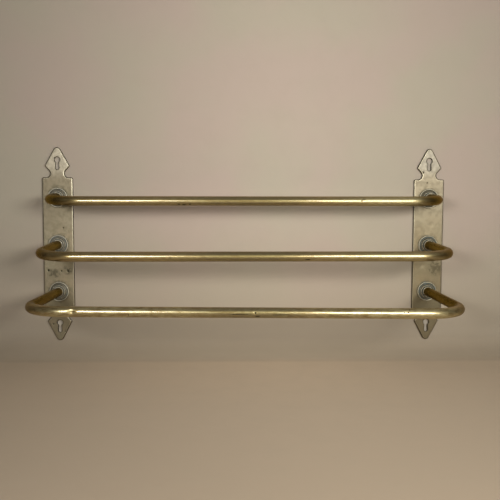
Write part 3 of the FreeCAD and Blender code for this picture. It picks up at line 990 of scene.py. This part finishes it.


# The sweep of paper behind and below. Its colour carries painted shade low on the wall, in the crease, towards the
# front and at both sides, painted light behind the keyholes and a painted reflection of the floor.
backdrop = {
    "gap": 0.0005,             # wall behind the plates
    "turnAt": -0.139,          # where the sweep starts to curve forward
    "turnRadius": 0.028,
    "height": 1.7,
    "halfWidth": 2.6,
    "forward": 3.2,
    "columns": 24,
    "wall": rgb(0.545, 0.488, 0.392),
    "wallPink": rgb(0.570, 0.470, 0.402),
    # painted shade: the wall darker towards the bottom, standing in for the rails' wide shadows and the light falling
    # off downwards
    "low": rgb(0.450, 0.385, 0.300),
    # painted shade in the crease where the wall turns into the floor
    "crease": rgb(0.370, 0.305, 0.225),
    "floor": rgb(0.735, 0.602, 0.452),
    # painted shade: the floor darker towards the front, as the light falls off there
    "near": rgb(0.415, 0.332, 0.244),
    "mirrored": rgb(0.96, 0.82, 0.64),     # painted reflection: a paler floor that only reflections in the brass show
    # painted shade: black mixed in towards both sides, where the light falls off
    "unlit": rgb(0, 0, 0),
    # painted light: a paler wall behind the keyholes, where the plate's thickness shades it
    "keyholeLight": rgb(0.48, 0.43, 0.36),
    "keyholesAt": (0.1075, -0.1225),
    "keyholeSpot": (0.0085, 0.01, 0.0125),
    "blotch": rgb(0.42, 0.36, 0.27),
    "fleck": rgb(0.20, 0.17, 0.13),
    "leftEdge": 0.68,          # painted shade at either side: the share of its colour left there
    "rightEdge": 0.74,
}


def matteBackdrop():
    b = backdrop
    material, socket, place = startMaterial("matteBackdrop", Roughness=0.85, Specular_IOR_Level=0.15)
    tree = place.tree
    ray = putNode(tree, "ShaderNodeLightPath").outputs
    broad = noiseAt(place, 7.0, 1.0, 2.0, 0.5)
    blotch = noiseAt(place, 30.0, 2.0, 4.0, 0.6)
    fibre = noiseAt(place, 1500.0, 3.0, 2.0, 0.6)
    fleck = useEffect("pits", place, spacing=0.030, amount=0.35, size=0.055)["Mask"]
    across, out, up = partsOf(place)
    # painted shade: the wall keeps its full colour in the middle and darkens towards both sides
    litShare = span(across, -0.45, 0.09, b["leftEdge"], 1.0) * span(across, 0.03, 0.50, 1.0, b["rightEdge"])
    # painted light behind the four keyholes
    behind = markMask(place, [((side * rails["span"] / 2, 0.0, z), b["keyholeSpot"])
                              for side in hands.values() for z in b["keyholesAt"]], 0.0)
    base = mixed(span(broad, 0.35, 0.65), b["wall"], b["wallPink"])
    # Painted shade and light over the paper's own colour; the blotches and flecks are the paper's own.
    for amount, layer in ((span(up, -0.15, 0.07, 1.0, 0.0), "low"), (span(up, -0.158, -0.128, 1.0, 0.0), "crease"),
                          (span(out, -0.045, -0.004, 1.0, 0.0), "floor"), (span(out, -0.62, 0.05, 1.0, 0.0), "near"),
                          (1.0 - litShare, "unlit"),
                          (Value(ray["Is Glossy Ray"]) * span(out, -0.10, -0.02, 0.50, 0.0), "mirrored"),
                          (behind, "keyholeLight"), (span(blotch, 0.40, 0.75, 0.0, 0.10), "blotch"),
                          (fleck * 0.18, "fleck")):
        base = mixed(amount, base, b[layer])
    feed(socket["Base Color"], base)
    feed(socket["Normal"], bumpFrom((fibre, 0.00008), (blotch, 0.0004)))
    # Seen from behind the sweep is clear, and it never darkens a face that lies flat against it.
    touching = calc("LESS_THAN", Value(ray["Ray Length"]), 0.0015)
    clear = larger(result(tree, "ShaderNodeNewGeometry", output="Backfacing"), touching)
    shader, output = (next(n for n in tree.nodes if n.type == kind) for kind in ("BSDF_PRINCIPLED", "OUTPUT_MATERIAL"))
    surfaces = {0: clear, 1: Value(shader.outputs[0]), 2: result(tree, "ShaderNodeBsdfTransparent")}
    feed(output.inputs["Surface"], result(tree, "ShaderNodeMixShader", surfaces))
    return material


def makeBackdrop():
    b = backdrop
    corners = [Vector((0, b["gap"], b["height"])), Vector((0, b["gap"], b["turnAt"] - b["turnRadius"])),
               Vector((0, -b["forward"], b["turnAt"] - b["turnRadius"]))]
    profile = pointsOnWay(corners, [b["turnRadius"]], 0.02)
    width = b["columns"] + 1
    points = [(b["halfWidth"] * (2 * k / b["columns"] - 1), p.y, p.z) for p in profile for k in range(width)]
    faces = [(a, a + width, a + width + 1, a + 1)
             for row in range(len(profile) - 1) for a in range(row * width, row * width + b["columns"])]
    sweep = makeObject("backdropSweep", points, faces, sharpAngle=None)
    sweep.data.materials.append(matteBackdrop())


# Two soft window-shaped lamps beside the camera, a dim lamp above, one for the backs of the
# plates that the sweep keeps off the front, and a dim even room.
lights = {
    "leftWindow": {"at": (-0.33, -1.0, 0.158), "size": (0.30, 0.14), "power": 3.3, "colour": (1.0, 0.98, 0.95)},
    "rightWindow": {"at": (0.42, -1.0, 0.180), "size": (0.46, 0.21), "power": 6.7, "colour": (1.0, 0.98, 0.92)},
    "overhead": {"at": (0.5, -0.7, 1.7), "size": (2.2, 2.0), "power": 3.0, "colour": (1.0, 0.96, 0.90)},
    "behind": {"at": (0.1, 1.3, 0.35), "size": (1.8, 1.2), "power": 14.0, "colour": (1.0, 0.97, 0.92)},
}
room = {"given": rgb(0.040, 0.036, 0.031), "seen": rgb(0.150, 0.130, 0.105)}


def makeLights():
    for name, lamp in lights.items():
        data = bpy.data.lights.new(name, "AREA")
        data.shape = "RECTANGLE"
        data.size, data.size_y = lamp["size"]
        data.energy, data.color = lamp["power"], lamp["colour"]
        light = bpy.data.objects.new(name, data)
        light.location = lamp["at"]
        light.rotation_mode = "QUATERNION"
        light.rotation_quaternion = (-light.location).to_track_quat("-Z", "Y")
        light.visible_camera = False
        bpy.context.scene.collection.objects.link(light)
    world = bpy.data.worlds.new("dimRoom")
    world.use_nodes = True
    # What is seen and mirrored of the room is paler than the light that it gives.
    ray = putNode(world.node_tree, "ShaderNodeLightPath").outputs
    camera, glossy, clear = (Value(ray[f"Is {kind} Ray"]) for kind in ("Camera", "Glossy", "Transmission"))
    shown = mixed((camera + glossy + clear).clamped(), room["given"], room["seen"])
    feed(world.node_tree.nodes["Background"].inputs["Color"], shown)
    bpy.context.scene.world = world
    bpy.context.scene.view_settings.view_transform = "Standard"


# Where the photograph was taken from; the turns are in radians.
viewpoint = {"at": (-0.02070, -1.00544, 0.06786), "down": 0.0789, "right": 0.0286, "roll": -0.003,
             "lens": 50.4, "film": 36.0}


def makeCamera():
    data = bpy.data.cameras.new("photoCamera")
    data.lens, data.sensor_width = viewpoint["lens"], viewpoint["film"]
    data.clip_start, data.clip_end = 0.02, 20.0
    camera = bpy.data.objects.new("photoCamera", data)
    tilt = (Matrix.Rotation(-viewpoint["right"], 3, "Z") @ Matrix.Rotation(-viewpoint["down"], 3, "X")
            @ Matrix.Rotation(viewpoint["roll"], 3, "Y"))
    right, forward, up = tilt.col
    turned = Matrix((right, up, -forward)).transposed()
    camera.matrix_world = Matrix.Translation(viewpoint["at"]) @ turned.to_4x4()
    bpy.context.scene.collection.objects.link(camera)
    bpy.context.scene.camera = camera


makeCamera()
makeBackdrop()
makeLights()
print("stage ready")

for level in levels:
    makeRail(level, tubeBrass(level))
print("tubes ready")

for hand in hands:
    makePlate(hand, plateBrass(hand))
print("plates ready")

fixings = {
    "end_plug": hiddenBrass("plugBrass", rgb(0.50, 0.38, 0.19), rgb(0.24, 0.17, 0.08)),
    "fixing_screw": hiddenBrass("screwBrass", rgb(0.56, 0.44, 0.22), rgb(0.26, 0.19, 0.09)),
}
for hand, side in hands.items():
    for place, level in enumerate(levels):
        seed = side * 5.7 + place * 2.9
        makeTurned("turned_rosette", "rosette", hand, level, rosetteProfile(), seed, rosetteCrevice, rosetteCrest)
        makeTurned("tube_ferrule", "ferrule", hand, level, ferruleProfile(), seed + 1, ferruleCrevice, ferruleCrest)
        for kind, finish in fixings.items():
            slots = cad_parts[f"{kind}_{hand}_{level}"].data.materials
            slots.clear()
            slots.append(finish)
print("rosettes and fixings ready")
